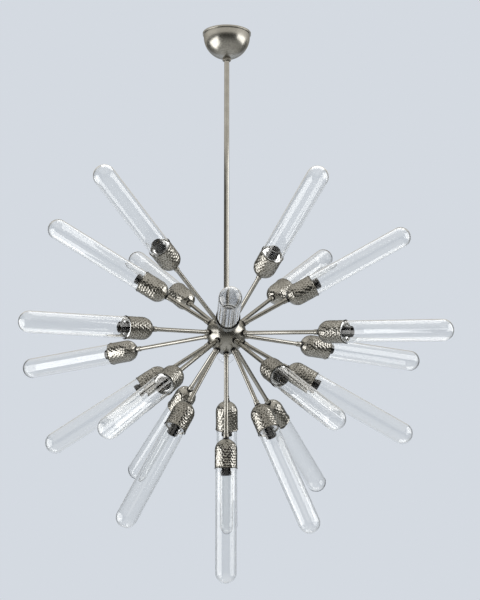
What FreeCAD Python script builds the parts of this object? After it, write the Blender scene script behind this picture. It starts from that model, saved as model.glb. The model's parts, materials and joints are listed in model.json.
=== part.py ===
import FreeCAD, Part
import os
from math import cos, pi, radians, sin, sqrt

# Sputnik chandelier in millimetres. +Z is up and the origin is on the ceiling, on the line of the rod.
# A ball hangs on a rod under a dome-shaped canopy. Twenty-two tubular arms leave the ball in five rings,
# in three stem lengths, and each ends in a hammered cup, a lamp holder and a clear glass tube.

# Ceiling fixing
ball_drop = 636.0            # ceiling to the centre of the ball
strap_thick = 2.5
strap_width = 18.0
strap_drop = 18.0            # ceiling to the top of the strap's flat
strap_flat = 54.0            # length of the flat, between the strap's legs
foot_length = 14.0
screw_spacing = 69.0         # between the two ceiling screws
screw_hole = 5.0             # width of the slots
screw_slot = 8.0             # length of the slots

# Terminal block on the strap
block_length = 16.0
block_width = 14.0
block_height = 10.0
block_gap = 1.2              # between the rod's nut and the block
block_corner = 1.0
block_screw_hole = 1.8
block_screw_setback = 4.5    # from the block's far end to its screws
block_lead_in = 4.8          # from the block's near end to the lead

# Canopy
canopy_radius = 48.0
canopy_wall = 1.2
canopy_skirt = 8.0           # straight part above the half round
canopy_flange = 2.2          # how far the rim's flange stands out
flange_height = 4.4
flange_chamfer = 1.0
collar_radius = 8.8
collar_height = 5.6
grub_radius = 1.6            # set screw that grips the rod
grub_length = 4.6
grub_slot_width = 0.6
grub_slot_depth = 0.8
slide_gap = 0.4              # between the rod and the canopy, and between the rod and the collar

# Rod and its nuts
rod_radius = 5.25
rod_wall = 1.1
rod_above_strap = 8.0        # how far the rod's thread stands above the strap's flat
rod_in_ball = 12.0           # how far the rod reaches into the ball
rod_nut_flats = 14.0
rod_nut_height = 4.0
top_nut_radius = 8.0         # round nut on top of the ball
top_nut_height = 6.0
top_nut_chamfer = 0.8

# Ball
ball_radius = 40.0
ball_wall = 2.0

# Arms
stem_radius = 4.2
stem_wall = 1.1
short_stem = 101.0           # clear length between the ball and the cup
medium_stem = 131.0
long_stem = 172.0
stem_in_ball = 9.0           # how far a stem reaches into the ball
bush_radius = 6.4            # black bush where an arm meets the ball or a cup
bush_height = 1.6
sleeve_radius = 5.3          # threaded sleeve at both ends of a stem
ball_sleeve_length = 7.5
cup_sleeve_length = 9.0
sleeve_chamfer = 0.4
arm_nut_flats = 11.0
arm_nut_height = 3.0
arm_washer_radius = 6.2
arm_washer_height = 1.2

# Cups
cup_radius = 22.5
cup_length = 58.8            # from the back of the cup to its mouth
cup_wall = 0.9
cup_lip_width = 0.7          # how far the lip turns out
cup_lip_length = 2.4

# Glass tubes
glass_gap = 0.4              # between the cup and the glass, and between the glass and its seat
glass_wall = 1.4
glass_rim_round = 0.55
glass_reach = 223.5          # from the cup's mouth to the tip of the tube
glass_insert = 12.0          # how deep the tube sits in the cup

# Bright seat inside each cup, with the stop and the rubber ring that hold the glass
seat_wall = 0.8
seat_setback = 3.5           # from the cup's mouth to the seat's mouth
stop_height = 1.6
stop_gap = 0.3               # between the glass and the stop
groove_setback = 6.2         # from the cup's mouth to the middle of the rubber ring
ring_radius = 0.7            # half the thickness of the rubber ring
ring_side_gap = 0.5          # on both sides of the rubber ring in its groove
spacer_radius = 7.0
ring_clearance = 0.3         # between the rubber ring and the glass

# Lamp holders
holder_radius = 10.4
neck_radius = 8.9
holder_cap_radius = 10.9
holder_out = 13.4            # how far the holder stands out of the cup
holder_cap_length = 8.6
holder_chamfer = 0.8
holder_thread = 5.0          # how far the stem screws into the holder
shell_radius = 7.0           # inside of the brass screw shell
shell_wall = 0.4
shell_length = 20.0
socket_depth = 30.0
contact_radius = 2.6
contact_height = 1.4

# Leads
lead_radius = 2.3
lead_bend = 3.7              # radius of the supply lead's two bends
arm_lead_radius = 2.0
boot_radius = 13.6           # insulating boot over the joined leads in the ball
lead_gap = 0.3               # between the boot and the leads' ends

touch = 0.05                 # between curved faces that seat on each other
thread_gap = 0.1             # between a thread and its nut or hole

# Rings of arms: elevation of the ring and azimuth of its first arm, in degrees. Azimuth is counted from
# the front and is plus to the right. The arms of a ring are evenly spaced, and each then stands off its
# even place by the few degrees that the real one does, first round and then up.
upper_tilt = 30.0
middle_tilt = -3.0
lower_tilt = -31.0
bottom_tilt = -61.0

rings = [
    ("upper", upper_tilt, -30.0, [long_stem, medium_stem, short_stem] * 2,
     [(-2, -2), (-3, 2), (-2, -1), (-2, 0), (2, 1), (0, 2)]),
    ("middle", middle_tilt, 0.0, [short_stem, long_stem, medium_stem] * 2,
     [(1, 1), (-2, -2), (-4, 0), (0, 7), (1, -1), (2, 0)]),
    ("lower", lower_tilt, -30.0, [long_stem, medium_stem, short_stem] * 2,
     [(0, 1), (1, 1), (0, 1), (0, -3), (2, -3), (-2, -2)]),
    ("bottom", bottom_tilt, -60.0, [medium_stem, medium_stem, short_stem],
     [(0, 1), (-7, -2), (-1, -5)]),
    ("lowest", -90.0, 0.0, [long_stem], [(0, 0)]),
]

# Sizes that follow from the ones above
glass_radius = cup_radius - cup_wall - glass_gap
seat_radius = glass_radius - glass_wall - glass_gap
shell_outer = shell_radius + shell_wall
holder_bore = shell_outer + thread_gap
rod_bore = rod_radius - rod_wall
stem_bore = stem_radius - stem_wall
cup_hole = stem_radius + thread_gap
rod_hole = rod_radius + thread_gap
collar_bore = rod_radius + slide_gap
canopy_low = -canopy_skirt - sqrt(canopy_radius ** 2 - collar_bore ** 2)
groove_floor = glass_radius - glass_wall - ring_clearance - 2 * ring_radius - touch
seat_low = cup_radius - sqrt((cup_radius - cup_wall) ** 2 - (seat_radius + glass_gap) ** 2)
holder_low = seat_low + seat_wall + arm_nut_height
up = FreeCAD.Vector(0, 0, 1)
ball_centre = FreeCAD.Vector(0, 0, -ball_drop)

os.makedirs("parts", exist_ok=True)


def at(radius, height):
    return FreeCAD.Vector(radius, 0, height)


def post(radius, low, high, x=0.0, y=0.0):
    return Part.makeCylinder(radius, high - low, FreeCAD.Vector(x, y, low), up)


def pipe(radius, bore, low, high):
    return post(radius, low, high).cut(post(bore, low - 1, high + 1))


def box(low, high):
    size = [high[axis] - low[axis] for axis in range(3)]
    return Part.makeBox(size[0], size[1], size[2], FreeCAD.Vector(*low))


def ball_shape(radius, centre_height=0.0):
    return Part.makeSphere(radius, FreeCAD.Vector(0, 0, centre_height))


def hex_nut(flats, bore, low, high):
    corner = flats / sqrt(3)
    corners = [FreeCAD.Vector(corner * cos(k * pi / 3), corner * sin(k * pi / 3), low) for k in range(7)]
    block = Part.Face(Part.makePolygon(corners)).extrude(FreeCAD.Vector(0, 0, high - low))
    return block.cut(post(bore, low - 1, high + 1))


def turned(edges):
    """A solid turned round the Z axis from a closed outline of edges."""
    face = Part.Face(Part.Wire(edges))
    return Part.makeSolid(face.revolve(FreeCAD.Vector(0, 0, 0), up, 360))


def line(start, end):
    return Part.makeLine(at(*start), at(*end))


def round_from(radius, centre_height, first, last):
    """Arc round a centre on the axis between two radii, on the low side of that centre."""
    ends = [(r, centre_height - sqrt(radius ** 2 - r ** 2)) for r in (first, last)]
    middle = (first + last) / 2
    through = (middle, centre_height - sqrt(radius ** 2 - middle ** 2))
    return Part.Arc(at(*ends[0]), at(*through), at(*ends[1])).toShape(), ends


def save(name, solids):
    shape = solids[0] if len(solids) == 1 else Part.makeCompound(solids)
    if not shape.isValid():
        print("not valid:", name)
    shape.exportStep("parts/" + name + ".step")


# ---- Ceiling strap, its terminal block and what hangs on it

def ceiling_strap():
    half = strap_flat / 2
    foot_end = half + strap_thick + foot_length
    side = strap_width / 2
    low = -strap_drop - strap_thick
    strap = box((-half - strap_thick, -side, low), (half + strap_thick, side, -strap_drop))
    for sign in (-1, 1):
        inner, outer, end = sign * half, sign * (half + strap_thick), sign * foot_end
        leg = box((min(inner, outer), -side, low), (max(inner, outer), side, 0))
        foot = box((min(inner, end), -side, -strap_thick), (max(inner, end), side, 0))
        strap = strap.fuse(leg).fuse(foot)
    reach = (screw_slot - screw_hole) / 2
    for sign in (-1, 1):
        middle = sign * screw_spacing / 2
        for x in (middle - reach, middle + reach):
            strap = strap.cut(post(screw_hole / 2, -strap_thick - 1, 1, x=x))
        strap = strap.cut(box((middle - reach, -screw_hole / 2, -strap_thick - 1),
                              (middle + reach, screw_hole / 2, 1)))
    strap = strap.cut(post(rod_hole, low - 1, -strap_drop + 1))
    return strap.removeSplitter()


def block_start():
    return rod_nut_flats / sqrt(3) + block_gap


def terminal_block():
    start = block_start()
    block = box((start, -block_width / 2, -strap_drop),
                (start + block_length, block_width / 2, -strap_drop + block_height))
    upright = [edge for edge in block.Edges if edge.BoundBox.ZLength > block_height / 2]
    block = block.makeFillet(block_corner, upright)
    screw_x = start + block_length - block_screw_setback
    block_top = -strap_drop + block_height
    for y in (-block_width / 4, block_width / 4):
        block = block.cut(post(block_screw_hole, block_top - block_height / 2, block_top + 1, screw_x, y))
    return block


def supply_lead():
    """Sheathed lead from the boot in the ball, up the rod and over into the top of the terminal block."""
    start = -ball_drop + boot_radius + lead_gap
    block_top = -strap_drop + block_height
    run_height = block_top + lead_bend
    drop_x = block_start() + block_lead_in
    turn = lead_bend * (1 - sin(pi / 4))
    points = [(0, start), (0, run_height - lead_bend), (lead_bend, run_height),
              (drop_x - lead_bend, run_height), (drop_x, block_top)]
    path = Part.Wire([
        line(points[0], points[1]),
        Part.Arc(at(*points[1]), at(turn, run_height - turn), at(*points[2])).toShape(),
        line(points[2], points[3]),
        Part.Arc(at(*points[3]), at(drop_x - turn, run_height - turn), at(*points[4])).toShape(),
    ])
    section = Part.Wire(Part.makeCircle(lead_radius, at(0, start), up))
    return path.makePipeShell([section], True, False)


def rod():
    top = -strap_drop + rod_above_strap
    low = -ball_drop + ball_radius - rod_in_ball
    return pipe(rod_radius, rod_bore, low, top)


def rod_nuts():
    """Two nuts that clamp the rod to the strap and one that holds the ball from inside."""
    flat_low = -strap_drop - strap_thick
    wall_low = -ball_drop + sqrt((ball_radius - ball_wall) ** 2 - (rod_nut_flats / sqrt(3)) ** 2)
    return [hex_nut(rod_nut_flats, rod_hole, -strap_drop, -strap_drop + rod_nut_height),
            hex_nut(rod_nut_flats, rod_hole, flat_low - rod_nut_height, flat_low),
            hex_nut(rod_nut_flats, rod_hole, wall_low - touch - rod_nut_height, wall_low - touch)]


def ball_top_nut():
    """Round nut that locks the rod on top of the ball, its foot shaped to the ball."""
    low = -ball_drop + sqrt(ball_radius ** 2 - top_nut_radius ** 2)
    high = -ball_drop + ball_radius + top_nut_height
    nut = post(top_nut_radius, low, high)
    top_edge = [edge for edge in nut.Edges if edge.BoundBox.ZMin > high - 0.01]
    nut = nut.makeChamfer(top_nut_chamfer, top_edge)
    nut = nut.cut(ball_shape(ball_radius + touch, -ball_drop))
    return nut.cut(post(rod_hole, low - 1, high + 1))


# ---- Canopy

def canopy_dome():
    inner = canopy_radius - canopy_wall
    outer_arc, outer_ends = round_from(canopy_radius, -canopy_skirt, collar_bore, canopy_radius)
    inner_arc, inner_ends = round_from(inner, -canopy_skirt, inner, collar_bore)
    flange = canopy_radius + canopy_flange
    return turned([
        outer_arc,
        line(outer_ends[1], (canopy_radius, -flange_height)),
        line((canopy_radius, -flange_height), (flange - flange_chamfer, -flange_height)),
        line((flange - flange_chamfer, -flange_height), (flange, -flange_height + flange_chamfer)),
        line((flange, -flange_height + flange_chamfer), (flange, 0)),
        line((flange, 0), (inner, 0)),
        line((inner, 0), inner_ends[0]),
        inner_arc,
        line(inner_ends[1], outer_ends[0]),
    ])


def canopy_collar():
    """Knurled collar under the canopy, its top shaped to the dome, with the hole for the set screw."""
    collar = pipe(collar_radius, collar_bore, canopy_low - collar_height, -canopy_skirt)
    collar = collar.cut(ball_shape(canopy_radius + touch, -canopy_skirt))
    return collar.cut(grub_post(grub_radius + thread_gap, 0, collar_radius + 2))


def grub_post(radius, start, end):
    place = FreeCAD.Vector(0, start, canopy_low - collar_height / 2)
    return Part.makeCylinder(radius, end - start, place, FreeCAD.Vector(0, 1, 0))


def collar_set_screw():
    screw_end = collar_bore + grub_length
    middle = canopy_low - collar_height / 2
    slot = box((-grub_radius, screw_end - grub_slot_depth, middle - grub_slot_width / 2),
               (grub_radius, screw_end + 1, middle + grub_slot_width / 2))
    return grub_post(grub_radius, collar_bore, screw_end).cut(slot)


# ---- Arms: each piece is made once along +Z from the ball's centre and then turned to its arm

def direction(azimuth, elevation):
    level = cos(radians(elevation))
    return FreeCAD.Vector(level * sin(radians(azimuth)), -level * cos(radians(azimuth)),
                          sin(radians(elevation)))


def list_arms():
    arms = []
    for ring, tilt, first, stems, leans in rings:
        for number, (stem, lean) in enumerate(zip(stems, leans)):
            azimuth = first + 360.0 / len(stems) * number + lean[0]
            arms.append({"ring": ring, "number": number + 1, "stem": stem,
                         "way": direction(azimuth, tilt + lean[1])})
    return arms


def placed(shape, arm, out=0.0):
    """Copy of a shape on an arm, its zero moved out from the ball's centre."""
    turn = FreeCAD.Rotation(up, arm["way"])
    copy = shape.copy()
    copy.Placement = FreeCAD.Placement(ball_centre + arm["way"] * out, turn)
    return copy


def cup_back(arm):
    return ball_radius + arm["stem"]


def ball_shell(arms):
    shell = ball_shape(ball_radius).cut(ball_shape(ball_radius - ball_wall))
    hole = post(cup_hole, ball_radius / 2, ball_radius + 1)
    shell.translate(ball_centre)
    cutters = [placed(hole, arm) for arm in arms]
    cutters.append(post(rod_hole, -ball_drop + ball_radius / 2, -ball_drop + ball_radius + 1))
    return shell.cut(Part.makeCompound(cutters))


def stem_tube(length):
    end = ball_radius + length + holder_low + holder_thread
    return pipe(stem_radius, stem_bore, ball_radius - stem_in_ball, end)


def ball_bush():
    low = sqrt(ball_radius ** 2 - bush_radius ** 2)
    bush = pipe(bush_radius, cup_hole, low, ball_radius + bush_height)
    return bush.cut(ball_shape(ball_radius + touch))


def ball_sleeve():
    low = ball_radius + bush_height
    return chamfered_sleeve(low, low + ball_sleeve_length)


def chamfered_sleeve(low, high):
    sleeve = post(sleeve_radius, low, high)
    ends = [edge for edge in sleeve.Edges if edge.BoundBox.ZLength < 0.01]
    return sleeve.makeChamfer(sleeve_chamfer, ends).cut(post(cup_hole, low - 1, high + 1))


def washer_high():
    return sqrt((ball_radius - ball_wall) ** 2 - arm_washer_radius ** 2) - touch


def arm_washer():
    return pipe(arm_washer_radius, cup_hole, washer_high() - arm_washer_height, washer_high())


def arm_nut():
    high = washer_high() - arm_washer_height
    return hex_nut(arm_nut_flats, cup_hole, high - arm_nut_height, high)


# What follows is measured from the back of the cup

def cup_sleeve():
    return chamfered_sleeve(-bush_height - cup_sleeve_length, -bush_height)


def cup_bush():
    high = cup_radius - sqrt(cup_radius ** 2 - bush_radius ** 2)
    bush = pipe(bush_radius, cup_hole, -bush_height, high)
    return bush.cut(ball_shape(cup_radius + touch, cup_radius))


def hammered_cup():
    inner = cup_radius - cup_wall
    lip = cup_radius + cup_lip_width
    lip_start = cup_length - cup_lip_length
    outer_arc, outer_ends = round_from(cup_radius, cup_radius, cup_hole, cup_radius)
    inner_arc, inner_ends = round_from(inner, cup_radius, inner, cup_hole)
    return turned([
        outer_arc,
        line(outer_ends[1], (cup_radius, lip_start)),
        line((cup_radius, lip_start), (lip, cup_length)),
        line((lip, cup_length), (lip - cup_wall, cup_length)),
        line((lip - cup_wall, cup_length), (inner, lip_start)),
        line((inner, lip_start), inner_ends[0]),
        inner_arc,
        line(inner_ends[1], outer_ends[0]),
    ])


def bright_seat():
    """Bright inner cup that the glass slips over, with a groove for the rubber ring and a stop."""
    high = cup_length - seat_setback
    floor = seat_low + seat_wall
    groove = cup_length - groove_setback
    half = ring_radius + ring_side_gap
    dip = seat_radius - groove_floor
    stop_high = cup_length - glass_insert - stop_gap
    stop_low = stop_high - stop_height
    inside = seat_radius - seat_wall
    outline = [(cup_hole, seat_low), (seat_radius, seat_low), (seat_radius, stop_low),
               (glass_radius, stop_low), (glass_radius, stop_high), (seat_radius, stop_high),
               (seat_radius, groove - half - dip),
               (groove_floor, groove - half), (groove_floor, groove + half),
               (seat_radius, groove + half + dip), (seat_radius, high), (inside, high),
               (inside, groove + half + dip), (inside - dip, groove + half),
               (inside - dip, groove - half), (inside, groove - half - dip), (inside, floor),
               (cup_hole, floor), (cup_hole, seat_low)]
    return turned([line(start, end) for start, end in zip(outline, outline[1:])])


def grip_ring():
    return Part.makeTorus(groove_floor + ring_radius + touch, ring_radius,
                          FreeCAD.Vector(0, 0, cup_length - groove_setback), up)


def seat_spacer():
    """Spacer between the back of the cup and the bright seat, its foot shaped to the cup."""
    cup_inside = ball_shape(cup_radius - cup_wall - touch, cup_radius)
    return pipe(spacer_radius, cup_hole, 0, seat_low).common(cup_inside)


def seat_nut():
    low = seat_low + seat_wall
    return hex_nut(arm_nut_flats, cup_hole, low, low + arm_nut_height)


def lamp_holder():
    """Black lamp holder: round body, narrower neck, wider end, and the well that takes the lamp's cap."""
    top = cup_length + holder_out
    cap_low = top - holder_cap_length
    neck_low = cup_length - holder_radius
    thread_end = holder_low + holder_thread
    outline = [(0, thread_end), (cup_hole, thread_end), (cup_hole, holder_low),
               (holder_radius, holder_low), (holder_radius, neck_low),
               (neck_radius, neck_low + holder_radius - neck_radius), (neck_radius, cap_low),
               (holder_cap_radius, cap_low), (holder_cap_radius, top - holder_chamfer),
               (holder_cap_radius - holder_chamfer, top), (holder_bore, top),
               (holder_bore, top - socket_depth), (0, top - socket_depth), (0, thread_end)]
    return turned([line(start, end) for start, end in zip(outline, outline[1:])])


def screw_shell():
    high = cup_length + holder_out - (socket_depth - shell_length) / 2
    return pipe(shell_outer, shell_radius, high - shell_length, high)


def centre_contact():
    low = cup_length + holder_out - socket_depth
    return post(contact_radius, low, low + contact_height)


def arm_lead(length):
    start = boot_radius + lead_gap
    end = ball_radius + length + holder_low + holder_thread - lead_gap
    return post(arm_lead_radius, start, end)


def glass_tube():
    tip_centre = cup_length + glass_reach - glass_radius
    low = cup_length - glass_insert
    outer = post(glass_radius, low, tip_centre).fuse(ball_shape(glass_radius, tip_centre))
    inner_radius = glass_radius - glass_wall
    inner = post(inner_radius, low - 1, tip_centre).fuse(ball_shape(inner_radius, tip_centre))
    tube = outer.removeSplitter().cut(inner.removeSplitter())
    rim = [edge for edge in tube.Edges if edge.BoundBox.ZMax < low + 0.01]
    return tube.makeFillet(glass_rim_round, rim)


# ---- Write every node

arms = list_arms()

save("ceiling_strap", [ceiling_strap()])
save("terminal_block", [terminal_block()])
save("supply_lead", [supply_lead()])
save("canopy_dome", [canopy_dome()])
save("canopy_collar", [canopy_collar()])
save("collar_set_screw", [collar_set_screw()])
save("down_rod", [rod()])
save("rod_nuts", rod_nuts())
save("ball_top_nut", [ball_top_nut()])
save("ball_shell", [ball_shell(arms)])
save("splice_boot", [ball_shape(boot_radius, -ball_drop)])

# Identical pieces on all the arms
at_ball = {"ball_bushes": ball_bush(), "ball_sleeves": ball_sleeve(), "arm_washers": arm_washer(),
           "arm_nuts": arm_nut()}
for name, shape in at_ball.items():
    save(name, [placed(shape, arm) for arm in arms])

at_cup = {"cup_sleeves": cup_sleeve(), "cup_bushes": cup_bush(), "seat_spacers": seat_spacer(),
          "bright_seats": bright_seat(), "seat_nuts": seat_nut(), "grip_rings": grip_ring(),
          "screw_shells": screw_shell(), "centre_contacts": centre_contact()}
for name, shape in at_cup.items():
    save(name, [placed(shape, arm, cup_back(arm)) for arm in arms])

save("arm_leads", [placed(arm_lead(arm["stem"]), arm) for arm in arms])

# Stems by length
for name, length in (("short_stems", short_stem), ("medium_stems", medium_stem), ("long_stems", long_stem)):
    save(name, [placed(stem_tube(length), arm) for arm in arms if arm["stem"] == length])

# Cups and lamp holders by ring, and a node for each glass tube
cup = hammered_cup()
holder = lamp_holder()
glass = glass_tube()
for ring in rings:
    in_ring = [arm for arm in arms if arm["ring"] == ring[0]]
    save(ring[0] + "_cups", [placed(cup, arm, cup_back(arm)) for arm in in_ring])
    save(ring[0] + "_lamp_holders", [placed(holder, arm, cup_back(arm)) for arm in in_ring])
    for arm in in_ring:
        save("glass_%s_%d" % (ring[0], arm["number"]), [placed(glass, arm, cup_back(arm))])
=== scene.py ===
import bpy
import json
import random
from math import asin, atan2, cos, pi, radians, sin, sqrt
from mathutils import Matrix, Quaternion, Vector


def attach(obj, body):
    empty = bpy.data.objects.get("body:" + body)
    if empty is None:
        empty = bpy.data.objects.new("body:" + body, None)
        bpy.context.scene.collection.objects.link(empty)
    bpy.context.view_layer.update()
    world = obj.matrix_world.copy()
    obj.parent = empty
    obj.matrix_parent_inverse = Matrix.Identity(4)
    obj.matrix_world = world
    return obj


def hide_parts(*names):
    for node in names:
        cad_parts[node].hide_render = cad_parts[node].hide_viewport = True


# Looks of the sputnik chandelier, in metres. The CAD nodes stay where they are and get their finishes here.
# The cups, seats, sleeves, holders and glass tubes are modelled once and copied onto the arms. The canopy and
# its knurled collar are modelled in place. The room at the end is what the metal mirrors.

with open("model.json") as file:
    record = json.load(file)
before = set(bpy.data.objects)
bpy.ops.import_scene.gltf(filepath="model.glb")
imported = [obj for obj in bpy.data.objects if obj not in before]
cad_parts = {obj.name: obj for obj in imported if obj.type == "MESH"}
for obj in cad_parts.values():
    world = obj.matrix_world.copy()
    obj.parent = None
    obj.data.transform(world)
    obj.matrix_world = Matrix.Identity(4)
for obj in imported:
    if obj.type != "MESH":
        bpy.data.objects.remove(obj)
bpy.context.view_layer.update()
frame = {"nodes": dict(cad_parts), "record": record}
cadNodes = frame["nodes"]
tiny = 1e-7  # stands for a radius of nothing while a shape is being turned
mergeDistance = 2e-6
print("stage: frame loaded,", len(cadNodes), "nodes")

armPlace = {
    "ballCentre": (0.0, 0.0, -0.636),
    "ballRadius": 0.040,
    "socketToCupBack": 0.0572,  # from the middle of a lamp socket to the back of its cup
    "bushHeight": 0.0016,
}


def listArms():
    arms = []
    for mount in frame["record"]["mounts"]:
        if mount["name"].startswith("lamp_socket_"):
            way = Vector(mount["axis"]).normalized()
            back = Vector(mount["pos_m"]) - way * armPlace["socketToCupBack"]
            arms.append({"name": mount["name"][len("lamp_socket_"):], "way": way, "cupBack": back})
    return arms


arms = listArms()


# Modelling helpers

def clearSelection():
    if bpy.context.mode != "OBJECT":
        bpy.ops.object.mode_set(mode="OBJECT")
    bpy.ops.object.select_all(action="DESELECT")


def pickOnly(piece):
    clearSelection()
    piece.select_set(True)
    bpy.context.view_layer.objects.active = piece


def turnShape(name, outline, sides):
    # starts with a circle and extrudes it ring by ring along the outline of radius and height pairs
    clearSelection()
    bpy.ops.mesh.primitive_circle_add(vertices=sides, radius=max(outline[0][0], tiny),
                                      location=(0, 0, outline[0][1]))
    shape = bpy.context.object
    shape.name = name
    shape.data.name = name
    bpy.ops.object.transform_apply(location=True, rotation=True, scale=True)
    bpy.ops.object.mode_set(mode="EDIT")
    bpy.ops.mesh.select_mode(type="EDGE")
    bpy.ops.mesh.select_all(action="SELECT")
    for (radius, height), (nextRadius, nextHeight) in zip(outline, outline[1:]):
        bpy.ops.mesh.extrude_edges_move(TRANSFORM_OT_translate={"value": (0, 0, nextHeight - height)})
        grow = max(nextRadius, tiny) / max(radius, tiny)
        bpy.ops.transform.resize(value=(grow, grow, 1), center_override=(0, 0, nextHeight))
    bpy.ops.mesh.select_all(action="SELECT")
    bpy.ops.mesh.remove_doubles(threshold=mergeDistance)
    bpy.ops.mesh.normals_make_consistent(inside=False)
    bpy.ops.object.mode_set(mode="OBJECT")
    return shape


def roundEdges(piece, width, segments=2, sharpest=30):
    pickOnly(piece)
    bevel = piece.modifiers.new("roundedEdges", "BEVEL")
    bevel.width = width
    bevel.segments = segments
    bevel.limit_method = "ANGLE"
    bevel.angle_limit = radians(sharpest)
    bpy.ops.object.modifier_apply(modifier=bevel.name)


def smoothFaces(piece, sharpest=40):
    pickOnly(piece)
    bpy.ops.object.shade_smooth_by_angle(angle=radians(sharpest))


def keepOwnCoordinates(piece):
    # notes where each point was before the piece went onto its arm, for patterns that follow the surface
    spots = piece.data.attributes.new("ownPlace", "FLOAT_VECTOR", "POINT")
    for vertex in piece.data.vertices:
        spots.data[vertex.index].vector = vertex.co


def copyOnto(model, name, place, way, turn=0.0):
    pickOnly(model)
    bpy.ops.object.duplicate(linked=False)
    copy = bpy.context.object
    copy.name = name
    copy.data.name = name
    copy.rotation_mode = "QUATERNION"
    copy.rotation_quaternion = way.to_track_quat("Z", "Y") @ Quaternion((0, 0, 1), turn)
    copy.location = place
    bpy.ops.object.transform_apply(location=True, rotation=True, scale=True)
    return copy


def joinPieces(pieces, name):
    clearSelection()
    for piece in pieces:
        piece.select_set(True)
    bpy.context.view_layer.objects.active = pieces[0]
    bpy.ops.object.join()
    joined = bpy.context.object
    joined.name = name
    joined.data.name = name
    return joined


def throwAway(piece):
    pickOnly(piece)
    bpy.ops.object.delete()


def arcPoints(radius, centreHeight, first, last, steps):
    # points on a circle round a centre on the axis, between two angles in degrees from straight down
    points = []
    for step in range(steps + 1):
        angle = radians(first + (last - first) * step / steps)
        points.append((radius * sin(angle), centreHeight - radius * cos(angle)))
    return points


# Materials: groups first, then the finishes

def newGroup(name, inputs, outputs):
    group = bpy.data.node_groups.new(name, "ShaderNodeTree")
    for label, kind, value in inputs:
        socket = group.interface.new_socket(name=label, in_out="INPUT", socket_type=kind)
        if value is not None:
            socket.default_value = value
    for label in outputs:
        group.interface.new_socket(name=label, in_out="OUTPUT", socket_type="NodeSocketFloat")
    entry = group.nodes.new("NodeGroupInput")
    leave = group.nodes.new("NodeGroupOutput")
    return group, entry, leave


def makeGrainGroup():
    group, entry, leave = newGroup("fineGrain", [
        ("Vector", "NodeSocketVector", None), ("Grain Scale", "NodeSocketFloat", 900.0),
        ("Cloud Scale", "NodeSocketFloat", 30.0)], ["Grain", "Clouds"])
    fine = group.nodes.new("ShaderNodeTexNoise")
    fine.inputs["Detail"].default_value = 3.0
    fine.inputs["Roughness"].default_value = 0.6
    clouds = group.nodes.new("ShaderNodeTexNoise")
    clouds.inputs["Detail"].default_value = 4.0
    group.links.new(entry.outputs["Vector"], fine.inputs["Vector"])
    group.links.new(entry.outputs["Grain Scale"], fine.inputs["Scale"])
    group.links.new(entry.outputs["Vector"], clouds.inputs["Vector"])
    group.links.new(entry.outputs["Cloud Scale"], clouds.inputs["Scale"])
    group.links.new(fine.outputs["Fac"], leave.inputs["Grain"])
    group.links.new(clouds.outputs["Fac"], leave.inputs["Clouds"])
    return group


def makeDustGroup():
    group, entry, leave = newGroup("dustOnTop", [
        ("Vector", "NodeSocketVector", None), ("Patch Scale", "NodeSocketFloat", 60.0)], ["Dust"])
    geometry = group.nodes.new("ShaderNodeNewGeometry")
    split = group.nodes.new("ShaderNodeSeparateXYZ")
    facing = group.nodes.new("ShaderNodeMapRange")  # only faces that look up gather dust
    facing.inputs["From Min"].default_value = 0.35
    facing.inputs["From Max"].default_value = 1.0
    patches = group.nodes.new("ShaderNodeTexNoise")
    patches.inputs["Detail"].default_value = 5.0
    both = group.nodes.new("ShaderNodeMath")
    both.operation = "MULTIPLY"
    group.links.new(geometry.outputs["Normal"], split.inputs["Vector"])
    group.links.new(split.outputs["Z"], facing.inputs["Value"])
    group.links.new(entry.outputs["Vector"], patches.inputs["Vector"])
    group.links.new(entry.outputs["Patch Scale"], patches.inputs["Scale"])
    group.links.new(facing.outputs["Result"], both.inputs[0])
    group.links.new(patches.outputs["Fac"], both.inputs[1])
    group.links.new(both.outputs["Value"], leave.inputs["Dust"])
    return group


grainGroup = makeGrainGroup()
dustGroup = makeDustGroup()
grainDepth = 0.00002
dustColour = (0.62, 0.61, 0.59)
noiseRange = (0.3, 0.7)  # nearly all of a noise lies between these


def startMaterial(name):
    material = bpy.data.materials.new(name)
    material.use_nodes = True
    tree = material.node_tree
    shader = tree.nodes["Principled BSDF"]
    return material, tree, shader


def surfacePlace(tree, stretch, attribute=None):
    # object coordinates, or the piece's own noted place, stretched for the direction of the grain
    mapping = tree.nodes.new("ShaderNodeMapping")
    mapping.inputs["Scale"].default_value = stretch
    if attribute:
        source = tree.nodes.new("ShaderNodeAttribute")
        source.attribute_name = attribute
        tree.links.new(source.outputs["Vector"], mapping.inputs["Vector"])
    else:
        source = tree.nodes.new("ShaderNodeTexCoord")
        tree.links.new(source.outputs["Object"], mapping.inputs["Vector"])
    return mapping


def addGrain(tree, place, cloudScale, grainScale=None):
    grain = tree.nodes.new("ShaderNodeGroup")
    grain.node_tree = grainGroup
    grain.inputs["Cloud Scale"].default_value = cloudScale
    if grainScale:
        grain.inputs["Grain Scale"].default_value = grainScale
    tree.links.new(place.outputs["Vector"], grain.inputs["Vector"])
    return grain


def spread(tree, source, low, high):
    # turns a 0 to 1 value into a range
    rangeNode = tree.nodes.new("ShaderNodeMapRange")
    rangeNode.inputs["From Min"].default_value = noiseRange[0]
    rangeNode.inputs["From Max"].default_value = noiseRange[1]
    rangeNode.inputs["To Min"].default_value = low
    rangeNode.inputs["To Max"].default_value = high
    tree.links.new(source, rangeNode.inputs["Value"])
    return rangeNode.outputs["Result"]


def blendColours(tree, mask, first, second):
    mix = tree.nodes.new("ShaderNodeMix")
    mix.data_type = "RGBA"
    for socket, colour in ((mix.inputs[6], first), (mix.inputs[7], second)):
        if hasattr(colour, "links"):
            tree.links.new(colour, socket)
        else:
            socket.default_value = (*colour, 1)
    tree.links.new(mask, mix.inputs[0])
    return mix.outputs[2]


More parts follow.
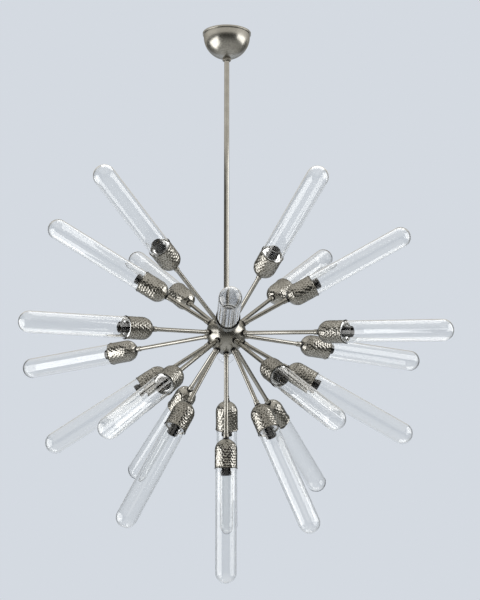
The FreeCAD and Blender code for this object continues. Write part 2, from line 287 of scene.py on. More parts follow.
def addBump(tree, shader, height, distance, strength):
    bump = tree.nodes.new("ShaderNodeBump")
    bump.inputs["Distance"].default_value = distance
    bump.inputs["Strength"].default_value = strength
    tree.links.new(height, bump.inputs["Height"])
    tree.links.new(bump.outputs["Normal"], shader.inputs["Normal"])


def makeMetal(name, looks):
    material, tree, shader = startMaterial(name)
    place = surfacePlace(tree, looks["stretch"], looks.get("attribute"))
    grain = addGrain(tree, place, looks["cloudScale"], looks["grainScale"])
    colour = blendColours(tree, spread(tree, grain.outputs["Clouds"], 0, 1), looks["dark"], looks["light"])
    dust = tree.nodes.new("ShaderNodeGroup")
    dust.node_tree = dustGroup
    plain = surfacePlace(tree, (1, 1, 1))
    tree.links.new(plain.outputs["Vector"], dust.inputs["Vector"])
    dustMask = spread(tree, dust.outputs["Dust"], 0, looks["dust"])
    colour = blendColours(tree, dustMask, colour, dustColour)
    if looks.get("markShadeAndLip"):  # painted shade: darker metal at the bottom of the hammer marks; the lip is darkened too
        markShadeAndDarkLip = tree.nodes.new("ShaderNodeAttribute")
        markShadeAndDarkLip.attribute_name = looks["markShadeAndLip"]
        colour = blendColours(tree, markShadeAndDarkLip.outputs["Fac"], colour, looks["markShadeAndLipColour"])
    tree.links.new(colour, shader.inputs["Base Color"])
    tree.links.new(spread(tree, grain.outputs["Grain"], *looks["roughness"]), shader.inputs["Roughness"])
    shader.inputs["Metallic"].default_value = 1.0
    shader.inputs["Specular Tint"].default_value = (*looks["edge"], 1)  # how nickel darkens near its outline
    addBump(tree, shader, grain.outputs["Grain"], grainDepth, looks["bump"])
    return material


def makePlastic(name, looks):
    material, tree, shader = startMaterial(name)
    place = surfacePlace(tree, (1, 1, 1), looks.get("attribute"))
    grain = addGrain(tree, place, looks["cloudScale"], looks["grainScale"])
    colour = blendColours(tree, spread(tree, grain.outputs["Clouds"], 0, 1), looks["dark"], looks["light"])
    tree.links.new(colour, shader.inputs["Base Color"])
    tree.links.new(spread(tree, grain.outputs["Clouds"], *looks["roughness"]), shader.inputs["Roughness"])
    shader.inputs["IOR"].default_value = 1.5
    addBump(tree, shader, grain.outputs["Grain"], grainDepth, looks["bump"])
    return material


def makeGlass(name, looks):
    material, tree, shader = startMaterial(name)
    place = surfacePlace(tree, (1, 1, 1), "ownPlace")
    grain = addGrain(tree, place, looks["waveScale"])
    tree.links.new(blendColours(tree, grain.outputs["Clouds"], looks["colour"], looks["paler"]),
                   shader.inputs["Base Color"])
    shader.inputs["Roughness"].default_value = 0.0
    shader.inputs["IOR"].default_value = looks["ior"]
    shader.inputs["Transmission Weight"].default_value = 1.0
    addBump(tree, shader, grain.outputs["Clouds"], looks["waveDepth"], 1.0)
    # lets the lamps' light reach the holder and the seat behind the glass
    clear = tree.nodes.new("ShaderNodeBsdfTransparent")
    clear.inputs["Color"].default_value = (*looks["shadowTint"], 1)
    rays = tree.nodes.new("ShaderNodeLightPath")
    mix = tree.nodes.new("ShaderNodeMixShader")
    tree.links.new(rays.outputs["Is Shadow Ray"], mix.inputs["Fac"])
    tree.links.new(shader.outputs["BSDF"], mix.inputs[1])
    tree.links.new(clear.outputs["BSDF"], mix.inputs[2])
    tree.links.new(mix.outputs["Shader"], tree.nodes["Material Output"].inputs["Surface"])
    return material


nickelTones = {"dark": (0.46, 0.445, 0.41), "light": (0.56, 0.545, 0.505), "edge": (0.42, 0.42, 0.41)}
plainEdge = (0.8, 0.8, 0.8)
finishes = {
    "turnedNickel": makeMetal("turnedNickel", {
        **nickelTones, "stretch": (1, 1, 16), "grainScale": 260, "cloudScale": 9,
        "roughness": (0.21, 0.3), "bump": 0.12, "dust": 0.03}),
    "satinNickel": makeMetal("satinNickel", {
        **nickelTones, "stretch": (1, 1, 1), "grainScale": 1400, "cloudScale": 45,
        "roughness": (0.1, 0.16), "bump": 0.05, "dust": 0.03}),
    "sleeveNickel": makeMetal("sleeveNickel", {
        **nickelTones, "stretch": (1, 1, 9), "attribute": "ownPlace", "grainScale": 500, "cloudScale": 60,
        "roughness": (0.12, 0.22), "bump": 0.15, "dust": 0.03}),
    # the cups get painted shade in the bottoms of their hammer marks, and a darkened lip
    "hammeredNickel": makeMetal("hammeredNickel", {
        "dark": (0.52, 0.505, 0.47), "light": (0.64, 0.625, 0.585), "edge": nickelTones["edge"],
        "stretch": (1, 1, 1), "attribute": "ownPlace", "grainScale": 1300, "cloudScale": 70,
        "roughness": (0.1, 0.18), "bump": 0.12, "dust": 0.03,
        "markShadeAndLip": "markShadeAndDarkLip", "markShadeAndLipColour": (0.17, 0.16, 0.14)}),
    "darkNickel": makeMetal("darkNickel", {
        "dark": (0.22, 0.21, 0.19), "light": (0.40, 0.385, 0.35), "edge": (0.5, 0.49, 0.46),
        "stretch": (1, 1, 1), "grainScale": 1200, "cloudScale": 120, "roughness": (0.12, 0.24),
        "bump": 0.2, "dust": 0.05}),
    "brightPlate": makeMetal("brightPlate", {
        "dark": (0.70, 0.71, 0.73), "light": (0.80, 0.81, 0.83), "edge": plainEdge, "stretch": (1, 1, 1),
        "grainScale": 900, "cloudScale": 40, "roughness": (0.03, 0.07), "bump": 0.03, "dust": 0.02}),
    "zincSteel": makeMetal("zincSteel", {
        "dark": (0.46, 0.46, 0.44), "light": (0.62, 0.62, 0.59), "edge": plainEdge, "stretch": (1, 1, 1),
        "grainScale": 700, "cloudScale": 160, "roughness": (0.3, 0.48), "bump": 0.2, "dust": 0.1}),
    # painted shade: the brass is made dark so that the screw shells and contacts look shaded in the holders'
    # bores
    "shadedBrassShell": makeMetal("shadedBrassShell", {
        "dark": (0.30, 0.24, 0.14), "light": (0.42, 0.35, 0.22), "edge": plainEdge, "stretch": (1, 1, 1),
        "grainScale": 800, "cloudScale": 120, "roughness": (0.28, 0.42), "bump": 0.2, "dust": 0.0}),
    "blackPlastic": makePlastic("blackPlastic", {
        "dark": (0.005, 0.005, 0.007), "light": (0.012, 0.012, 0.015), "grainScale": 900,
        "cloudScale": 60, "roughness": (0.08, 0.16), "bump": 0.06}),
    "blackRubber": makePlastic("blackRubber", {
        "dark": (0.015, 0.015, 0.015), "light": (0.03, 0.03, 0.03), "grainScale": 1600,
        "cloudScale": 120, "roughness": (0.55, 0.75), "bump": 0.6}),
    "whitePlastic": makePlastic("whitePlastic", {
        "dark": (0.70, 0.69, 0.66), "light": (0.78, 0.77, 0.74), "grainScale": 900,
        "cloudScale": 80, "roughness": (0.4, 0.55), "bump": 0.2}),
    "leadSheath": makePlastic("leadSheath", {
        "dark": (0.62, 0.62, 0.60), "light": (0.72, 0.72, 0.69), "grainScale": 700,
        "cloudScale": 60, "roughness": (0.35, 0.5), "bump": 0.3}),
    "clearGlass": makeGlass("clearGlass", {
        "colour": (0.985, 0.992, 0.994), "paler": (0.995, 0.998, 0.998), "shadowTint": (0.95, 0.96, 0.96),
        "waveScale": 9, "waveDepth": 0.000003, "ior": 1.54}),
}
print("stage: materials made")


def giveFinish(piece, finish):
    piece.data.materials.clear()
    piece.data.materials.append(finishes[finish])


def settle(piece, finish, body, slotName, *nodes):
    giveFinish(piece, finish)
    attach(piece, body)
    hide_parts(*nodes)


# Finishes of the CAD nodes that are shown as they are
nodeFinish = {
    "ball_shell": "turnedNickel", "ball_top_nut": "turnedNickel",
    "down_rod": "satinNickel", "short_stems": "satinNickel", "medium_stems": "satinNickel",
    "long_stems": "satinNickel", "ceiling_strap": "zincSteel", "rod_nuts": "zincSteel",
    "collar_set_screw": "zincSteel", "arm_washers": "zincSteel", "arm_nuts": "zincSteel",
    "seat_spacers": "zincSteel", "seat_nuts": "zincSteel",
    "terminal_block": "whitePlastic", "supply_lead": "leadSheath", "arm_leads": "leadSheath",
    "splice_boot": "leadSheath", "ball_bushes": "blackPlastic", "cup_bushes": "blackPlastic",
    "grip_rings": "blackRubber", "screw_shells": "shadedBrassShell", "centre_contacts": "shadedBrassShell",
}
for nodeName, finish in nodeFinish.items():
    giveFinish(cadNodes[nodeName], finish)
print("stage: CAD nodes finished")


# Hammered cups
cup = {
    "radius": 0.0225, "length": 0.0588, "wall": 0.0009, "hole": 0.0043, "flare": 0.0007,
    "flareLength": 0.0024, "sides": 160, "step": 0.00085, "hammerAcross": 0.0060,
    "hammerRow": 0.0052, "hammerReach": 0.0036, "hammerDepth": 0.0009, "fadeFrom": 60, "fadeTo": 24,
    "darkLip": 0.0011, "firstRow": 0.0012, "fromLip": 0.0015, "shakeRound": 0.13, "shakeAlong": 0.00035,
    "force": (0.65, 1.1), "lean": 0.5, "roundness": 1.2, "skin": 0.0002, "turnEach": 1.1,
}


def cupOutline():
    radius, wall, length = cup["radius"], cup["wall"], cup["length"]
    inner = radius - wall
    flareStart = length - cup["flareLength"]
    holeAngle = 180 / pi * atan2(cup["hole"], radius)
    smoothPart = arcPoints(radius, radius, holeAngle, cup["fadeTo"], 8)
    markedPart = arcPoints(radius, radius, cup["fadeTo"], 90,
                           round(radius * radians(90 - cup["fadeTo"]) / cup["step"]))
    outline = smoothPart + markedPart[1:]
    rows = round((flareStart - radius) / cup["step"])
    outline += [(radius, radius + (flareStart - radius) * row / rows) for row in range(1, rows + 1)]
    lip = radius + cup["flare"]
    # the lip swells out, and its edge is rounded
    outline += [(radius + cup["flare"] * 0.35, flareStart + 0.0008),
                (radius + cup["flare"] * 0.75, length - 0.0009), (lip, length - 0.0003),
                (lip - 0.0002, length), (lip - wall + 0.0002, length), (lip - wall, length - 0.0004)]
    outline += [(inner, flareStart)] + arcPoints(inner, radius, 90, 180 / pi * atan2(cup["hole"], inner), 12)
    return outline + [outline[0]]


def hammer(piece):
    # sinks staggered rows of round marks into the outside, deepest on the straight part
    shake = random.Random(22)
    rows = []
    along = cup["firstRow"]
    top = cup["length"] - cup["fromLip"]
    lean = cup["lean"]
    skirtLength = top - cup["radius"]
    while along < skirtLength + cup["radius"] * radians(90 - cup["fadeTo"]):
        bend = max(0.0, (along - skirtLength) / cup["radius"])
        ringRadius = cup["radius"] * cos(bend)
        count = max(6, round(2 * pi * ringRadius / cup["hammerAcross"]))
        stagger = len(rows) % 2 / 2
        marks = [((number + stagger + shake.uniform(-cup["shakeRound"], cup["shakeRound"])) * 2 * pi / count,
                  along + shake.uniform(-cup["shakeAlong"], cup["shakeAlong"]),
                  shake.uniform(*cup["force"]), shake.uniform(-lean, lean), shake.uniform(-lean, lean))
                 for number in range(count)]
        rows.append((ringRadius, count, marks))
        along += cup["hammerRow"]
    # notes painted shade for the bottoms of the marks, and a darkened lip, for the cups' material
    markShadeAndDarkLip = piece.data.attributes.new("markShadeAndDarkLip", "FLOAT", "POINT")
    sunk = {}
    for vertex in piece.data.vertices:
        x, y, z = vertex.co
        if z > cup["length"] - cup["darkLip"]:
            markShadeAndDarkLip.data[vertex.index].value = 1.0
        fromAxis = sqrt(x * x + y * y)
        below = cup["radius"] - z
        reach = fromAxis if below < 0 else sqrt(fromAxis ** 2 + below ** 2)
        if reach < cup["radius"] - cup["skin"] or z > cup["length"] - cup["darkLip"]:
            continue
        bend = max(0.0, atan2(below, fromAxis))
        if degreesFromDown(bend) < cup["fadeTo"]:
            continue
        place = top - z if below < 0 else skirtLength + bend * cup["radius"]
        angle = atan2(y, x) % (2 * pi)
        nearRow = int((place - cup["firstRow"]) / cup["hammerRow"] + 0.5)
        depth = 0.0
        for row in (nearRow - 1, nearRow, nearRow + 1):
            if not 0 <= row < len(rows):
                continue
            ringRadius, count, marks = rows[row]
            nearMark = int(angle / (2 * pi) * count)
            for number in (nearMark - 1, nearMark, nearMark + 1):
                markAngle, markAlong, force, leanRound, leanAlong = marks[number % count]
                turn = (angle - markAngle + pi) % (2 * pi) - pi
                aside = turn * ringRadius / cup["hammerReach"]
                ahead = (place - markAlong) / cup["hammerReach"]
                apart = sqrt(aside ** 2 + ahead ** 2)
                if apart < 1:
                    blow = force * (1 + leanRound * aside + leanAlong * ahead)
                    depth = max(depth, blow * (1 - apart ** 2) ** cup["roundness"])
        fade = (degreesFromDown(bend) - cup["fadeTo"]) / (cup["fadeFrom"] - cup["fadeTo"])
        fade = min(1.0, max(0.0, fade))
        sunk[vertex.index] = depth * fade
        # painted shade, strongest at the bottom of the deepest marks
        markShadeAndDarkLip.data[vertex.index].value = min(1.0, depth * fade) ** 2
    for index, depth in sunk.items():
        vertex = piece.data.vertices[index]
        outward = Vector((vertex.co.x, vertex.co.y, min(0.0, vertex.co.z - cup["radius"]))).normalized()
        vertex.co -= outward * depth * cup["hammerDepth"]


def degreesFromDown(bend):
    return 90 - bend * 180 / pi


cupModel = turnShape("cupModel", cupOutline(), cup["sides"])
keepOwnCoordinates(cupModel)
hammer(cupModel)
smoothFaces(cupModel, 60)
for number, arm in enumerate(arms):
    piece = copyOnto(cupModel, "hammeredCup_" + arm["name"], arm["cupBack"], arm["way"],
                     number * cup["turnEach"])
    settle(piece, "hammeredNickel", "frame", "hammered_nickel", arm["name"].rsplit("_", 1)[0] + "_cups")
throwAway(cupModel)
print("stage: cups hammered")


# Bright seats in the cups: a can that the glass slips over, closed round the holder by a swelling face
seat = {"low": 0.01387, "radius": 0.0194, "wall": 0.0008, "hole": 0.0043, "stopRadius": 0.0212,
        "stopLow": 0.0449, "stopHigh": 0.0465, "ringFloor": 0.01805, "ringHeight": 0.0526,
        "ringHalf": 0.0012, "slope": 0.00135, "high": 0.0553, "faceHole": 0.0109, "faceTilt": 62,
        "faceLow": 0.0500, "faceSteps": 8, "sides": 72}


def seatOutline():
    radius, wall, slope = seat["radius"], seat["wall"], seat["slope"]
    ringLow, ringHigh = seat["ringHeight"] - seat["ringHalf"], seat["ringHeight"] + seat["ringHalf"]
    outline = [(seat["hole"], seat["low"]), (radius, seat["low"]), (radius, seat["stopLow"]),
               (seat["stopRadius"], seat["stopLow"]), (seat["stopRadius"], seat["stopHigh"]),
               (radius, seat["stopHigh"]), (radius, ringLow - slope), (seat["ringFloor"], ringLow),
               (seat["ringFloor"], ringHigh), (radius, ringHigh + slope)]
    middle = (radius + seat["faceHole"]) / 2
    swell = (radius - seat["faceHole"]) / 2 / sin(radians(seat["faceTilt"]))
    centre = seat["high"] - swell * cos(radians(seat["faceTilt"]))
    steps = seat["faceSteps"]
    tilts = [seat["faceTilt"] * (1 - step / steps) for step in range(2 * steps + 1)]
    outline += [(middle + swell * sin(radians(tilt)), centre + swell * cos(radians(tilt))) for tilt in tilts]
    outline += [(seat["faceHole"], seat["faceLow"]), (seat["faceHole"] + wall, seat["faceLow"])]
    outline += [(middle + (swell - wall) * sin(radians(tilt)), centre + (swell - wall) * cos(radians(tilt)))
                for tilt in reversed(tilts)]
    inside, floor = radius - wall, seat["low"] + wall
    outline += [(seat["ringFloor"] - wall, ringHigh), (seat["ringFloor"] - wall, ringLow),
                (inside, ringLow - slope), (inside, floor), (seat["hole"], floor)]
    return outline + [outline[0]]


seatModel = turnShape("seatModel", seatOutline(), seat["sides"])
smoothFaces(seatModel)
seatCopies = [copyOnto(seatModel, "seatCopy", arm["cupBack"], arm["way"]) for arm in arms]
settle(joinPieces(seatCopies, "brightSeats"), "brightPlate", "frame", "bright_chrome", "bright_seats")
throwAway(seatModel)
print("stage: seats turned")


# Sleeves at both ends of the arms
sleeve = {"radius": 0.0053, "hole": 0.0043, "ballLength": 0.0075, "cupLength": 0.009, "sides": 40,
          "groove": 0.00035, "grooveFromEnd": 0.0019, "edge": 0.0003, "endEdge": 0.0004, "bevel": 0.00012}


def sleeveOutline(length):
    radius, groove, spot = sleeve["radius"], sleeve["groove"], sleeve["grooveFromEnd"]
    hole, edge, endEdge = sleeve["hole"], sleeve["edge"], sleeve["endEdge"]
    outline = [(hole, 0), (radius - edge, 0), (radius, edge), (radius, length / 2),
               (radius, length - spot - groove), (radius - groove, length - spot - groove * 0.4),
               (radius - groove, length - spot + groove * 0.4), (radius, length - spot + groove),
               (radius, length - endEdge), (radius - endEdge, length), (hole, length)]
    return outline + [outline[0]]


for node, length, atBall in (("ball_sleeves", sleeve["ballLength"], True),
                             ("cup_sleeves", sleeve["cupLength"], False)):
    sleeveModel = turnShape("sleeveModel", sleeveOutline(length), sleeve["sides"])
    roundEdges(sleeveModel, sleeve["bevel"])
    keepOwnCoordinates(sleeveModel)
    smoothFaces(sleeveModel)
    copies = []
    for arm in arms:
        if atBall:
            out = armPlace["ballRadius"] + armPlace["bushHeight"]
            place = Vector(armPlace["ballCentre"]) + arm["way"] * out
            copies.append(copyOnto(sleeveModel, "sleeveCopy", place, arm["way"]))
        else:
            place = arm["cupBack"] - arm["way"] * armPlace["bushHeight"]
            copies.append(copyOnto(sleeveModel, "sleeveCopy", place, -arm["way"]))
    piece = joinPieces(copies, "ballSleeves" if atBall else "cupSleeves")
    settle(piece, "sleeveNickel", "frame", "satin_nickel", node)
    throwAway(sleeveModel)
print("stage: sleeves turned")


# Lamp holders
holder = {"radius": 0.0104, "neck": 0.0089, "endRadius": 0.0109, "out": 0.0134, "endLength": 0.0086,
          "low": 0.01769, "threadLength": 0.005, "stemHole": 0.0043, "bore": 0.0075, "depth": 0.030,
          "sides": 56, "ribDepth": 0.0003, "ribs": (0.0024, 0.0043, 0.0062), "edge": 0.0006,
          "collarHeight": 0.0012, "collarOut": 0.0007, "bevel": 0.0002, "turnEach": 0.7}


def holderOutline():
    top = cup["length"] + holder["out"]
    endLow = top - holder["endLength"]
    neckLow = cup["length"] - holder["radius"]
    radius, endRadius, rib = holder["radius"], holder["endRadius"], holder["ribDepth"]
    threadEnd = holder["low"] + holder["threadLength"]
    edge, collarLow = holder["edge"], endLow - holder["collarHeight"]
    collarRadius = holder["neck"] + holder["collarOut"]
    outline = [(0, threadEnd), (holder["stemHole"], threadEnd), (holder["stemHole"], holder["low"]),
               (radius - edge, holder["low"]), (radius, holder["low"] + edge), (radius, neckLow),
               (holder["neck"], neckLow + radius - holder["neck"]), (holder["neck"], collarLow),
               (collarRadius, collarLow), (collarRadius, endLow),
               (endRadius - 0.0004, endLow), (endRadius, endLow + 0.0004)]
    for groove in holder["ribs"]:
        outline += [(endRadius, endLow + groove - rib), (endRadius - rib, endLow + groove),
                    (endRadius, endLow + groove + rib)]
    outline += [(endRadius, top - 0.0009), (endRadius - 0.0003, top - 0.0003), (endRadius - 0.0009, top),
                (holder["bore"] + edge, top), (holder["bore"], top - edge),
                (holder["bore"], top - holder["depth"]), (0, top - holder["depth"])]
    return outline


holderModel = turnShape("holderModel", holderOutline(), holder["sides"])
roundEdges(holderModel, holder["bevel"])
keepOwnCoordinates(holderModel)
smoothFaces(holderModel)
for number, arm in enumerate(arms):
    piece = copyOnto(holderModel, "lampHolder_" + arm["name"], arm["cupBack"], arm["way"],
                     number * holder["turnEach"])
    settle(piece, "blackPlastic", "frame", "black_plastic", arm["name"].rsplit("_", 1)[0] + "_lamp_holders")
throwAway(holderModel)
print("stage: lamp holders made")


# Clear glass tubes
glass = {"radius": 0.0212, "wall": 0.0014, "reach": 0.2235, "insert": 0.012, "sides": 72,
         "tipExtra": 0.0006, "rimRound": 0.00055, "bodyRows": 12, "domeStep": 6, "turnEach": 0.9}


def glassOutline():
    outer, inner = glass["radius"], glass["radius"] - glass["wall"]
    low = cup["length"] - glass["insert"]
    centre = cup["length"] + glass["reach"] - outer
    rim, bodyRows, domeStep = glass["rimRound"], glass["bodyRows"], glass["domeStep"]
    innerDome = [(inner * sin(radians(a)), centre - glass["tipExtra"] + inner * cos(radians(a)))
                 for a in range(0, 91, domeStep)]
    outerDome = [(outer * sin(radians(a)), centre + outer * cos(radians(a)))
                 for a in range(90, -1, -domeStep)]
    inside = [(inner, centre - glass["tipExtra"] - (centre - low - rim) * row / bodyRows)
              for row in range(1, bodyRows)]
    rimPoints = [(inner, low + rim), (inner + rim * 0.3, low + rim * 0.3), (inner + rim, low),
                 (outer - rim, low), (outer - rim * 0.3, low + rim * 0.3), (outer, low + rim)]
    outside = [(outer, low + rim + (centre - low - rim) * row / bodyRows) for row in range(1, bodyRows)]
    return innerDome + inside + rimPoints + outside + outerDome


glassModel = turnShape("glassModel", glassOutline(), glass["sides"])
keepOwnCoordinates(glassModel)
smoothFaces(glassModel, 60)
for number, arm in enumerate(arms):
    piece = copyOnto(glassModel, "glassTube_" + arm["name"], arm["cupBack"], arm["way"],
                     number * glass["turnEach"])
    settle(piece, "clearGlass", "glass_" + arm["name"], "clear_glass", "glass_" + arm["name"])
throwAway(glassModel)
print("stage: glass tubes blown")


# Canopy: a half round with a rolled rim, and a fine groove between the two
canopy = {"radius": 0.048, "wall": 0.0012, "skirt": 0.008, "hole": 0.00565, "rimOut": 0.0022,
          "rimHeight": 0.0044, "rimRound": 0.0011, "groove": 0.0005, "sides": 144}


def canopyOutline():
    radius, inner, centre = canopy["radius"], canopy["radius"] - canopy["wall"], -canopy["skirt"]
    rimLow, rimOut, bend = -canopy["rimHeight"], canopy["radius"] + canopy["rimOut"], canopy["rimRound"]
    outline = arcPoints(radius, centre, 180 / pi * asin(canopy["hole"] / radius), 90, 36)
    outline += [(radius, rimLow - 0.0010), (radius - canopy["groove"], rimLow - 0.0007),
                (radius - canopy["groove"], rimLow - 0.0002), (radius + 0.0002, rimLow)]
    for angle in (0, 30, 60, 90):
        outline.append((rimOut - bend + bend * sin(radians(angle)),
                        rimLow + bend - bend * cos(radians(angle))))
    outline += [(rimOut, -0.0006), (rimOut - 0.0002, -0.0002), (rimOut - 0.0006, 0), (inner, 0)]
    outline += arcPoints(inner, centre, 90, 180 / pi * asin(canopy["hole"] / inner), 24)
    return outline + [outline[0]]


canopyPiece = turnShape("canopyDome", canopyOutline(), canopy["sides"])
smoothFaces(canopyPiece, 35)
settle(canopyPiece, "turnedNickel", "canopy", "satin_nickel", "canopy_dome")
print("stage: canopy turned")


# Knurled collar under the canopy
collar = {"radius": 0.0088, "bore": 0.00565, "low": -0.061266, "domeRadius": 0.04805, "domeCentre": -0.008,
          "teeth": 48, "toothDepth": 0.00042, "toothTwist": 900, "rows": 6}


def domeHeight(radius):
    return collar["domeCentre"] - sqrt(collar["domeRadius"] ** 2 - radius ** 2)


def makeCollar():
    radius, low = collar["radius"], collar["low"]
    valley = radius - collar["toothDepth"]
    outline = [(collar["bore"], domeHeight(collar["bore"])), (valley - 0.0004, domeHeight(valley - 0.0004)),
               (valley, domeHeight(valley) - 0.0004)]
    high, rows = domeHeight(valley) - 0.0008, collar["rows"]
    outline += [(valley, high + (low + 0.0008 - high) * row / rows) for row in range(rows + 1)]
    outline += [(valley, low + 0.0004), (valley - 0.0005, low), (collar["bore"], low),
                (collar["bore"], low + 0.002)]
    shape = turnShape("knurledCollar", outline + [outline[0]], collar["teeth"] * 4)
    for vertex in shape.data.vertices:  # raises the teeth, which wind a little to one side
        fromAxis = sqrt(vertex.co.x ** 2 + vertex.co.y ** 2)
        if fromAxis > valley - 0.00001 and low + 0.0006 < vertex.co.z < high + 0.0001:
            twist = (vertex.co.z - low) * collar["toothTwist"]
            wave = cos(collar["teeth"] * atan2(vertex.co.y, vertex.co.x) + twist)
            grow = (fromAxis + collar["toothDepth"] * (0.5 + 0.5 * wave)) / fromAxis
            vertex.co.x *= grow
            vertex.co.y *= grow
    smoothFaces(shape, 35)
    return shape


settle(makeCollar(), "darkNickel", "canopy", "dark_nickel", "canopy_collar")
print("stage: collar knurled")


# Floor, room, lamps and camera
studio = {
    "floorHeight": -2.8, "floorSize": 5.0, "floorBack": 0.6, "floorColour": (0.62, 0.64, 0.66),
    "backdrop": (0.66, 0.70, 0.755), "ceiling": (0.60, 0.58, 0.535), "lowPart": (0.34, 0.34, 0.32),
    "nearWall": (0.025, 0.025, 0.022), "sideWall": (0.13, 0.13, 0.12), "lampColour": (1.0, 0.99, 0.965),
    "ceilingHeight": 0.012, "ceilingSize": 1.7, "fadeFrom": 1.0, "fadeTo": 2.4,
    "floorClouds": 1.5, "floorPaler": 1.02, "floorRoughness": 0.85, "ceilingClouds": 2, "ceilingPaler": 1.05,
    # where one part of the room goes over into the next, in parts of a direction's length
    "nearToSide": (-0.7, 0.0), "sideToBackdrop": (0.78, 0.93), "wallToLowPart": (-0.25, -0.75),
    "ceilingRise": 0.6, "ceilingRisesFrom": (0.3, 0.75), "wallToCeiling": (0.0, 0.2),
    "mirroredBackdrop": (0.5, 0.2),
}
# the photograph's camera, worked out from the places of the cups, with its angles in degrees
cameraValues = {"place": (0.0, -3.147, -1.234), "tilt": 101.95, "pan": -0.50, "sensor": 36.0, "lens": 96.02,
                "clipEnd": 60.0}
# big soft lamps in place of windows: low on the left and high on the right, and one overhead for the floor
lamps = [
    {"name": "leftWindow", "place": (-1.35, -0.43, -0.97), "turn": (0, -90, 0), "size": (1.25, 1.65),
     "power": 15.5, "mirrored": True},
    {"name": "rightWindow", "place": (2.05, -0.40, 0.08), "turn": (0, 90, 0), "size": (1.75, 2.1),
     "power": 27.0, "mirrored": True},
    {"name": "ceilingGlow", "place": (0.3, 0.4, 1.4), "turn": (0, 0, 0), "size": (2.2, 1.8),
     "power": 34.0, "mirrored": False},
]


def mathNode(tree, operation, first, second):
    node = tree.nodes.new("ShaderNodeMath")
    node.operation = operation
    for socket, value in ((node.inputs[0], first), (node.inputs[1], second)):
        if hasattr(value, "links"):
            tree.links.new(value, socket)
        else:
            socket.default_value = value
    return node.outputs["Value"]


def softStep(tree, source, fromValue, toValue):
    # 0 at the first value and 1 at the second, with a soft change between them
    node = tree.nodes.new("ShaderNodeMapRange")
    node.interpolation_type = "SMOOTHSTEP"
    node.inputs["From Min"].default_value = fromValue
    node.inputs["From Max"].default_value = toValue
    tree.links.new(source, node.inputs["Value"])
    return node.outputs["Result"]


def makeFloor():
    clearSelection()
    bpy.ops.mesh.primitive_grid_add(x_subdivisions=8, y_subdivisions=8, size=studio["floorSize"],
                                    location=(0, studio["floorBack"], studio["floorHeight"]))
    floor = bpy.context.object
    floor.name = "floor"
    material, tree, shader = startMaterial("floorPaint")
    place = surfacePlace(tree, (1, 1, 1))
    grain = addGrain(tree, place, studio["floorClouds"])
    colour = studio["floorColour"]
    paler = tuple(part * studio["floorPaler"] for part in colour)
    tree.links.new(blendColours(tree, grain.outputs["Clouds"], colour, paler), shader.inputs["Base Color"])
    shader.inputs["Roughness"].default_value = studio["floorRoughness"]
    clear = tree.nodes.new("ShaderNodeBsdfTransparent")
    sideSeen = tree.nodes.new("ShaderNodeNewGeometry")
    mix = tree.nodes.new("ShaderNodeMixShader")
    # seen through from below, and fades into the backdrop away from the middle
    fromMiddle = tree.nodes.new("ShaderNodeVectorMath")
    fromMiddle.operation = "LENGTH"
    tree.links.new(surfacePlace(tree, (1, 1, 1)).outputs["Vector"], fromMiddle.inputs[0])
    fade = softStep(tree, fromMiddle.outputs["Value"], studio["fadeFrom"], studio["fadeTo"])
    tree.links.new(mathNode(tree, "MAXIMUM", sideSeen.outputs["Backfacing"], fade), mix.inputs["Fac"])
    tree.links.new(shader.outputs["BSDF"], mix.inputs[1])
    tree.links.new(clear.outputs["BSDF"], mix.inputs[2])
    tree.links.new(mix.outputs["Shader"], tree.nodes["Material Output"].inputs["Surface"])
    floor.data.materials.append(material)


def makeCeiling():
    # only there for the metal to mirror, so the camera and the lamps' light go through it
    clearSelection()
    bpy.ops.mesh.primitive_grid_add(x_subdivisions=4, y_subdivisions=4, size=studio["ceilingSize"],
                                    location=(0, 0, studio["ceilingHeight"]), rotation=(pi, 0, 0))
    ceiling = bpy.context.object
    ceiling.name = "ceiling"
    ceiling.visible_camera = False
    ceiling.visible_diffuse = False
    ceiling.visible_transmission = False
    ceiling.visible_shadow = False
    material, tree, shader = startMaterial("ceilingPaint")
    grain = addGrain(tree, surfacePlace(tree, (1, 1, 1)), studio["ceilingClouds"])
    paler = tuple(part * studio["ceilingPaler"] for part in studio["ceiling"])
    shader.inputs["Base Color"].default_value = (0, 0, 0, 1)
    shader.inputs["Emission Strength"].default_value = 1.0
    tree.links.new(blendColours(tree, grain.outputs["Clouds"], studio["ceiling"], paler),
                   shader.inputs["Emission Color"])
    ceiling.data.materials.append(material)


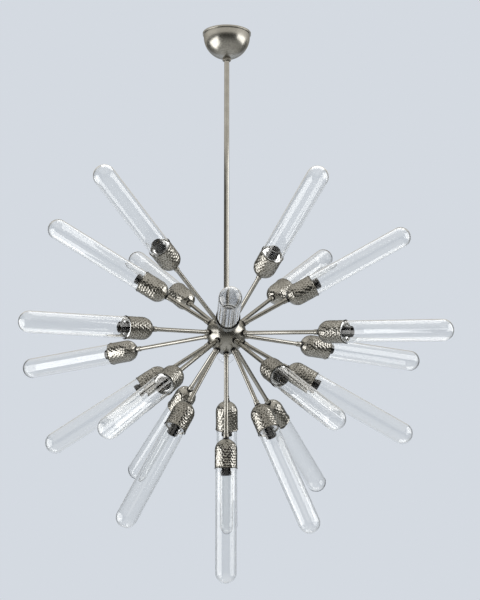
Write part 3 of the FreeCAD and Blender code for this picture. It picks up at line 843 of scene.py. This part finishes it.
def makeWorld():
    world = bpy.data.worlds.new("paleStudio")
    bpy.context.scene.world = world
    world.use_nodes = True
    tree = world.node_tree
    seen = tree.nodes["Background"]
    seen.inputs["Color"].default_value = (*studio["backdrop"], 1)
    seen.inputs["Strength"].default_value = 1.0
    direction = tree.nodes.new("ShaderNodeTexCoord")
    split = tree.nodes.new("ShaderNodeSeparateXYZ")
    level = tree.nodes.new("ShaderNodeCombineXYZ")
    unit = tree.nodes.new("ShaderNodeVectorMath")
    unit.operation = "NORMALIZE"
    flat = tree.nodes.new("ShaderNodeSeparateXYZ")
    tree.links.new(direction.outputs["Generated"], split.inputs["Vector"])
    tree.links.new(split.outputs["X"], level.inputs["X"])
    tree.links.new(split.outputs["Y"], level.inputs["Y"])
    tree.links.new(level.outputs["Vector"], unit.inputs[0])
    tree.links.new(unit.outputs["Vector"], flat.inputs["Vector"])
    height = split.outputs["Z"]
    # a dark wall near the camera, greyer ones at the sides and the pale backdrop on the far side
    awayFromCamera = softStep(tree, flat.outputs["Y"], *studio["nearToSide"])
    wall = blendColours(tree, awayFromCamera, studio["nearWall"], studio["sideWall"])
    farSide = softStep(tree, flat.outputs["Y"], *studio["sideToBackdrop"])
    wall = blendColours(tree, farSide, wall, studio["backdrop"])
    wall = blendColours(tree, softStep(tree, height, *studio["wallToLowPart"]), wall, studio["lowPart"])
    # the ceiling starts just over the level in front and behind, and far higher at the sides
    sideways = mathNode(tree, "ABSOLUTE", flat.outputs["X"], 0.0)
    rise = softStep(tree, sideways, *studio["ceilingRisesFrom"])
    lift = mathNode(tree, "MULTIPLY", rise, studio["ceilingRise"])
    overhead = softStep(tree, mathNode(tree, "SUBTRACT", height, lift), *studio["wallToCeiling"])
    room = tree.nodes.new("ShaderNodeBackground")
    tree.links.new(blendColours(tree, overhead, wall, studio["ceiling"]), room.inputs["Color"])
    # the backdrop is the same for the camera, through the glass and in the metal's reflection of it
    rays = tree.nodes.new("ShaderNodeLightPath")
    noMirror = mathNode(tree, "LESS_THAN", rays.outputs["Glossy Depth"], 0.5)
    through = mathNode(tree, "MULTIPLY", rays.outputs["Is Transmission Ray"], noMirror)
    plain = mathNode(tree, "MAXIMUM", rays.outputs["Is Camera Ray"], through)
    mirrored = mathNode(tree, "MULTIPLY", rays.outputs["Is Glossy Ray"], farSide)
    lowEnough = softStep(tree, height, *studio["mirroredBackdrop"])
    mirrored = mathNode(tree, "MULTIPLY", mirrored, lowEnough)
    mix = tree.nodes.new("ShaderNodeMixShader")
    tree.links.new(mathNode(tree, "MAXIMUM", plain, mirrored), mix.inputs["Fac"])
    tree.links.new(room.outputs["Background"], mix.inputs[1])
    tree.links.new(seen.outputs["Background"], mix.inputs[2])
    tree.links.new(mix.outputs["Shader"], tree.nodes["World Output"].inputs["Surface"])


def addLamp(values):
    clearSelection()
    bpy.ops.object.light_add(type="AREA", location=values["place"],
                             rotation=[radians(angle) for angle in values["turn"]])
    lamp = bpy.context.object
    lamp.name = values["name"]
    lamp.data.shape = "RECTANGLE"
    lamp.data.size, lamp.data.size_y = values["size"]
    lamp.data.energy = values["power"]
    lamp.data.color = studio["lampColour"]
    lamp.visible_camera = False
    lamp.visible_glossy = values["mirrored"]
    # mirrored in the metal and the glass, but not seen straight through the glass
    lamp.data.use_nodes = True
    tree = lamp.data.node_tree
    rays = tree.nodes.new("ShaderNodeLightPath")
    noMirror = mathNode(tree, "LESS_THAN", rays.outputs["Glossy Depth"], 0.5)
    throughGlass = mathNode(tree, "GREATER_THAN", rays.outputs["Transmission Depth"], 0.5)
    hidden = mathNode(tree, "MULTIPLY", throughGlass, noMirror)
    tree.links.new(mathNode(tree, "SUBTRACT", 1.0, hidden), tree.nodes["Emission"].inputs["Strength"])


def addCamera():
    clearSelection()
    turn = (radians(cameraValues["tilt"]), 0, radians(cameraValues["pan"]))
    bpy.ops.object.camera_add(location=cameraValues["place"], rotation=turn)
    camera = bpy.context.object
    camera.data.sensor_width = cameraValues["sensor"]
    camera.data.lens = cameraValues["lens"]
    camera.data.clip_end = cameraValues["clipEnd"]
    bpy.context.scene.camera = camera


makeFloor()
makeCeiling()
makeWorld()
for lampValues in lamps:
    addLamp(lampValues)
addCamera()
bpy.context.scene.view_settings.view_transform = "Standard"
print("stage: studio set up")
